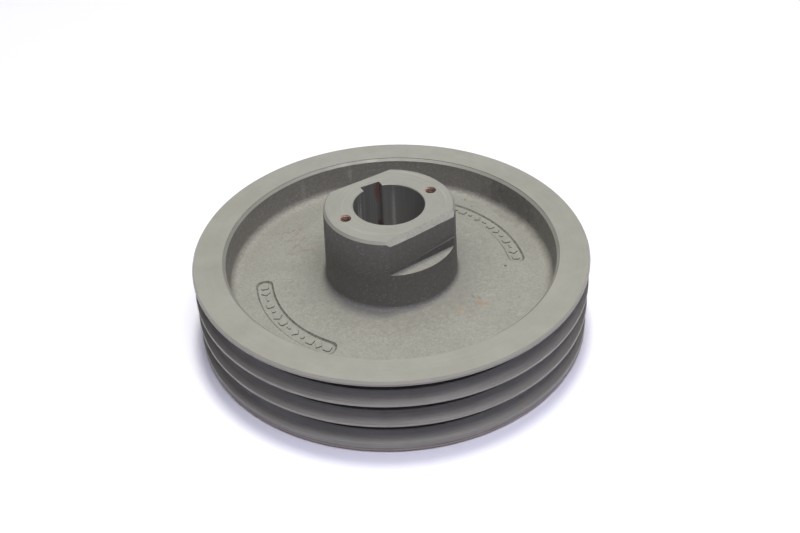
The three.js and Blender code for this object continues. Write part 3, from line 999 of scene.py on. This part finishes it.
def turned_solid(name, outline, material, steps=96):
    """A solid of revolution from (radius, height) points whose first and last lie on the axis."""
    points = [(0, 0, outline[0][1]), (0, 0, outline[-1][1])]
    rows = outline[1:-1]
    faces = []
    for radius, height in rows:
        points += [polar(radius, 360 * step / steps, height) for step in range(steps)]
    for step in range(steps):
        following = (step + 1) % steps
        faces.append((0, 2 + following, 2 + step))
        for row in range(len(rows) - 1):
            base = 2 + row * steps
            faces.append((base + step, base + following, base + steps + following, base + steps + step))
        base = 2 + (len(rows) - 1) * steps
        faces.append((1, base + step, base + following))
    return make_object(name, points, faces, [material])


def screw_envelope(tip, head):
    """The screw's cup point and the chamfers at its ends, with room for the thread between them."""
    room = 1
    outside = SCREW_RADIUS + room
    top_chamfer = SCREW_CHAMFER / 2
    outline = [(0, tip + SCREW_CUP_RADIUS / 2), (SCREW_CUP_RADIUS, tip)]
    outline += [(SCREW_RADIUS - SCREW_CHAMFER, tip), (outside, tip + SCREW_CHAMFER + room)]
    outline += [(outside, head - top_chamfer - room), (SCREW_RADIUS - top_chamfer, head), (0, head)]
    return turned_solid("envelope", outline, BLACKENED_STEEL)


def socket_cutter(head):
    """A hexagonal bar that ends in the blunt point of a drilled hole."""
    corner = SCREW_SOCKET_ACROSS_FLATS / math.sqrt(3)
    floor_height = head - SCREW_SOCKET_DEPTH
    points = [(0, 0, floor_height - SCREW_SOCKET_POINT)]
    for height in (floor_height, head + 1):
        points += [polar(corner, 60 * side, height) for side in range(6)]
    faces = [tuple(range(7, 13))]
    for side in range(6):
        following = (side + 1) % 6
        faces.append((0, 1 + side, 1 + following))
        faces.append((1 + side, 1 + following, 7 + following, 7 + side))
    return make_object("socket", points, faces, [BLACKENED_STEEL])


# ---------------------------------------------------------------- stage

def floor():
    """A round white floor that ends where the white background takes over."""
    steps = 96
    points = [polar(FLOOR_RADIUS, 360 * step / steps, -FLOOR_GAP) for step in range(steps)]
    material = Graph("white_floor", 0.0, 0.9, 0.1).finish((0.87, 0.87, 0.98))
    disc = make_object("floor", points, [tuple(range(steps))], [material])


def aim(lamp, position, target):
    direction = Vector(target) - Vector(position)
    lamp.location = position
    lamp.rotation_euler = direction.to_track_quat("-Z", "Y").to_euler()


def area_light(name, size, power, azimuth, elevation, distance, color):
    """A round soft light aimed at the pulley, with its size and distance in metres.

    Its azimuth is counted from the camera's side, in degrees."""
    data = bpy.data.lights.new(name, "AREA")
    data.shape = "DISK"
    data.size = size
    data.energy = power
    data.color = color
    lamp = bpy.data.objects.new(name, data)
    bpy.context.scene.collection.objects.link(lamp)
    turn = math.radians(azimuth - 90) - VIEW_TURN
    rise = math.radians(elevation)
    reach = distance * math.cos(rise)
    aim(lamp, (reach * math.cos(turn), reach * math.sin(turn), distance * math.sin(rise)), (0, 0, 0.03))


def sky():
    """Light from overhead that fades towards the horizon; the camera itself sees plain white."""
    world = bpy.data.worlds.new("studio")
    bpy.context.scene.world = world
    world.use_nodes = True
    nodes = world.node_tree.nodes
    links = world.node_tree.links
    background = nodes["Background"]
    place_node = nodes.new("ShaderNodeTexCoord")
    split = nodes.new("ShaderNodeSeparateXYZ")
    links.new(place_node.outputs["Generated"], split.inputs[0])
    fade = nodes.new("ShaderNodeMapRange")
    fade.interpolation_type = "SMOOTHSTEP"
    fade.inputs["From Min"].default_value = 0.0
    fade.inputs["From Max"].default_value = 1.0
    fade.inputs["To Min"].default_value = HORIZON_STRENGTH
    fade.inputs["To Max"].default_value = ZENITH_STRENGTH
    links.new(split.outputs["Z"], fade.inputs["Value"])
    path = nodes.new("ShaderNodeLightPath")
    choose = nodes.new("ShaderNodeMix")
    links.new(path.outputs["Is Camera Ray"], choose.inputs["Factor"])
    links.new(fade.outputs["Result"], choose.inputs["A"])
    choose.inputs["B"].default_value = 1.0
    links.new(choose.outputs["Result"], background.inputs["Strength"])
    background.inputs["Color"].default_value = (0.92, 0.92, 1.0, 1.0)


def camera():
    """The photographed view, from above and in front, with a small pan, tilt and roll."""
    position = Vector((0, -math.cos(VIEW_ELEVATION), math.sin(VIEW_ELEVATION))) * VIEW_DISTANCE
    forward = -position.normalized()
    right = Vector((1, 0, 0))
    down = -right.cross(forward)
    view = Matrix((right, down, forward))
    for angle, axis in ((VIEW_PAN, "Y"), (VIEW_TILT, "X"), (VIEW_ROLL, "Z")):
        view = Matrix.Rotation(angle, 3, axis) @ view
    turn = Matrix.Rotation(-VIEW_TURN, 3, "Z")
    right, down, forward = (turn @ row for row in view)
    pose = Matrix((right, -down, -forward)).transposed().to_4x4()
    pose.translation = (turn @ position + Vector((0, 0, FACE_WIDTH))) * MM
    data = bpy.data.cameras.new("view")
    data.lens = LENS
    data.sensor_width = SENSOR
    eye = bpy.data.objects.new("view", data)
    eye.matrix_world = pose
    bpy.context.scene.collection.objects.link(eye)
    bpy.context.scene.camera = eye


camera()
sky()
area_light("back_key", size=0.5, power=50, azimuth=172, elevation=81.5, distance=3.0,
           color=(1.0, 0.975, 0.78))
area_light("overhead_softbox", size=1.6, power=43, azimuth=25, elevation=78.5, distance=2.5,
           color=(0.915, 0.915, 1.0))
area_light("front_fill", size=1.6, power=2.2, azimuth=5, elevation=30, distance=3.0,
           color=(0.92, 0.88, 0.98))
area_light("back_card", size=1.4, power=8.5, azimuth=180, elevation=24, distance=3.0,
           color=(0.87, 0.9, 1.0))
floor()
pulley_casting()
set_screw("key_set_screw_threaded", "key_set_screw", "key_screw", 90)
set_screw("shaft_set_screw_threaded", "shaft_set_screw", "shaft_screw", 0)
bpy.context.scene.view_settings.view_transform = "Standard"
